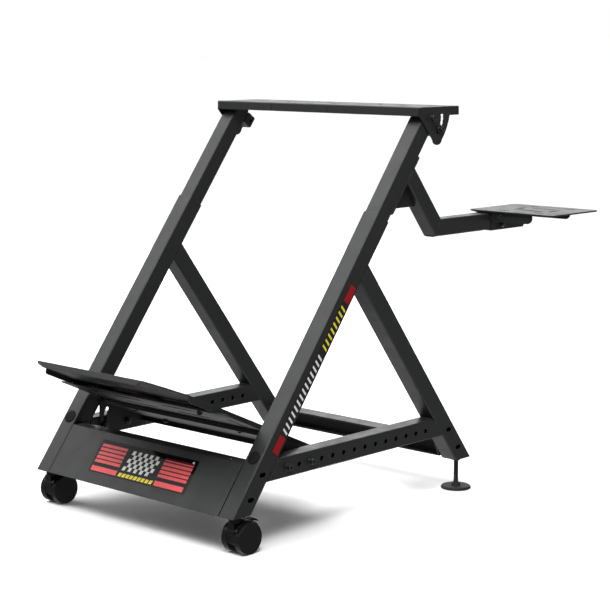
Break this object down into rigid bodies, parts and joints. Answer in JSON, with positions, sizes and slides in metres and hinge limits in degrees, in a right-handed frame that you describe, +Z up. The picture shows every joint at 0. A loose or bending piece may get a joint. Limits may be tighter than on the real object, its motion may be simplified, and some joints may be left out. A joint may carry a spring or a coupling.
{
  "type": "racing wheel stand",
  "caption": "A-frame stand of square tube with a tilting wheel plate on a telescoping mast, a shifter arm, a sloping pedal deck, casters and levelling feet.",
  "frame": {"origin": "on the floor, under the middle of the whole object's box", "axes": "+Z up, +Y towards the driver's seat, +X towards the shifter arm"},
  "size_m": [0.747, 1.0366, 0.8137],
  "materials": {
    "powder_coat": "satin dark grey powder coat",
    "black_hardware": "black oxide steel",
    "black_plastic": "matt moulded black plastic",
    "wheel_plastic": "semi-matt black nylon",
    "caster_plastic": "glossy black moulded plastic",
    "foot_rubber": "black moulded rubber"
  },
  "bodies": {
    "frame": {"left_front_post": "powder_coat", "right_front_post": "powder_coat", "left_side_rail": "powder_coat", "right_side_rail": "powder_coat", "left_rear_leg": "powder_coat", "right_rear_leg": "powder_coat", "front_panel": "powder_coat", "rear_crossmember": "powder_coat", "cross_bolts": "black_hardware", "cross_nuts": "black_hardware", "post_plugs": "black_plastic", "height_lock_bosses": "powder_coat", "height_lock_screws": "black_hardware", "caster_stems": "black_hardware", "caster_nuts": "black_hardware", "foot_nuts": "black_hardware", "foot_lock_nuts": "black_hardware"},
    "mast": {"left_inner_post": "powder_coat", "right_inner_post": "powder_coat", "post_glides": "black_plastic", "head_blocks": "powder_coat", "pivot_bolts": "black_hardware", "pivot_nuts": "black_hardware", "angle_bolts": "black_hardware", "arm_saddle": "powder_coat", "arm_strut": "powder_coat", "arm_rail": "powder_coat", "arm_gusset": "powder_coat", "arm_end_cap": "black_plastic", "saddle_bolts": "black_hardware", "saddle_nuts": "black_hardware"},
    "wheel_deck": {"wheel_plate": "powder_coat"},
    "shifter_carriage": {"shifter_plate": "powder_coat", "shifter_clamp": "powder_coat", "shifter_pad": "black_plastic", "shifter_studs": "black_hardware", "shifter_nuts": "black_hardware", "shifter_lock_screw": "black_hardware"},
    "pedal_carriage": {"rail_bolts": "black_hardware", "rail_nuts": "black_hardware"},
    "pedal_deck": {"pedal_plate": "powder_coat", "pedal_tray": "powder_coat", "pedal_base": "powder_coat", "deck_studs": "black_hardware", "deck_spacers": "black_hardware", "deck_nuts": "black_hardware"},
    "left_caster": {"left_caster_body": "caster_plastic", "left_caster_axle": "black_hardware"},
    "left_brake": {"left_caster_brake": "caster_plastic"},
    "left_wheel_left": {"left_caster_wheel_left": "wheel_plastic"},
    "left_wheel_right": {"left_caster_wheel_right": "wheel_plastic"},
    "left_foot": {"left_foot_pad": "foot_rubber", "left_foot_stud": "black_hardware"},
    "right_caster": {"right_caster_body": "caster_plastic", "right_caster_axle": "black_hardware"},
    "right_brake": {"right_caster_brake": "caster_plastic"},
    "right_wheel_left": {"right_caster_wheel_left": "wheel_plastic"},
    "right_wheel_right": {"right_caster_wheel_right": "wheel_plastic"},
    "right_foot": {"right_foot_pad": "foot_rubber", "right_foot_stud": "black_hardware"}
  },
  "joints": [
    {"name": "mast_slide", "type": "slide", "parent": "frame", "child": "mast", "axis": [0, 0.6046, 0.7965], "range_m": [-0.016, 0.128]},
    {"name": "wheel_plate_tilt", "type": "hinge", "parent": "mast", "child": "wheel_deck", "pos_m": [-0.0755, 0.14968, 0.7915], "axis": [1, 0, 0], "range_deg": [-48, 12]},
    {"name": "shifter_slide", "type": "slide", "parent": "mast", "child": "shifter_carriage", "axis": [0, 1, 0], "range_m": [-0.12, 0.01]},
    {"name": "pedal_slide", "type": "slide", "parent": "frame", "child": "pedal_carriage", "axis": [0, 1, 0], "range_m": [0, 0.192]},
    {"name": "pedal_tilt", "type": "hinge", "parent": "pedal_carriage", "child": "pedal_deck", "pos_m": [-0.0755, -0.20672, 0.148], "axis": [1, 0, 0], "range_deg": [0, 24]},
    {"name": "left_caster_swivel", "type": "hinge", "parent": "frame", "child": "left_caster", "pos_m": [-0.3415, -0.39362, 0.06], "axis": [0, 0, 1], "continuous": true},
    {"name": "left_brake_press", "type": "hinge", "parent": "left_caster", "child": "left_brake", "pos_m": [-0.3415, -0.36072, 0.0595], "axis": [1, 0, 0], "range_deg": [-12, 0]},
    {"name": "left_wheel_left_spin", "type": "hinge", "parent": "left_caster", "child": "left_wheel_left", "pos_m": [-0.35815, -0.37572, 0.0305], "axis": [1, 0, 0], "continuous": true},
    {"name": "left_wheel_right_spin", "type": "hinge", "parent": "left_caster", "child": "left_wheel_right", "pos_m": [-0.32485, -0.37572, 0.0305], "axis": [1, 0, 0], "continuous": true},
    {"name": "left_foot_screw", "type": "slide", "parent": "frame", "child": "left_foot", "axis": [0, 0, 1], "range_m": [0, 0.011]},
    {"name": "right_caster_swivel", "type": "hinge", "parent": "frame", "child": "right_caster", "pos_m": [0.1905, -0.39362, 0.06], "axis": [0, 0, 1], "continuous": true},
    {"name": "right_brake_press", "type": "hinge", "parent": "right_caster", "child": "right_brake", "pos_m": [0.1905, -0.36072, 0.0595], "axis": [1, 0, 0], "range_deg": [-12, 0]},
    {"name": "right_wheel_left_spin", "type": "hinge", "parent": "right_caster", "child": "right_wheel_left", "pos_m": [0.17385, -0.37572, 0.0305], "axis": [1, 0, 0], "continuous": true},
    {"name": "right_wheel_right_spin", "type": "hinge", "parent": "right_caster", "child": "right_wheel_right", "pos_m": [0.20715, -0.37572, 0.0305], "axis": [1, 0, 0], "continuous": true},
    {"name": "right_foot_screw", "type": "slide", "parent": "frame", "child": "right_foot", "axis": [0, 0, 1], "range_m": [0, 0.011]}
  ]
}
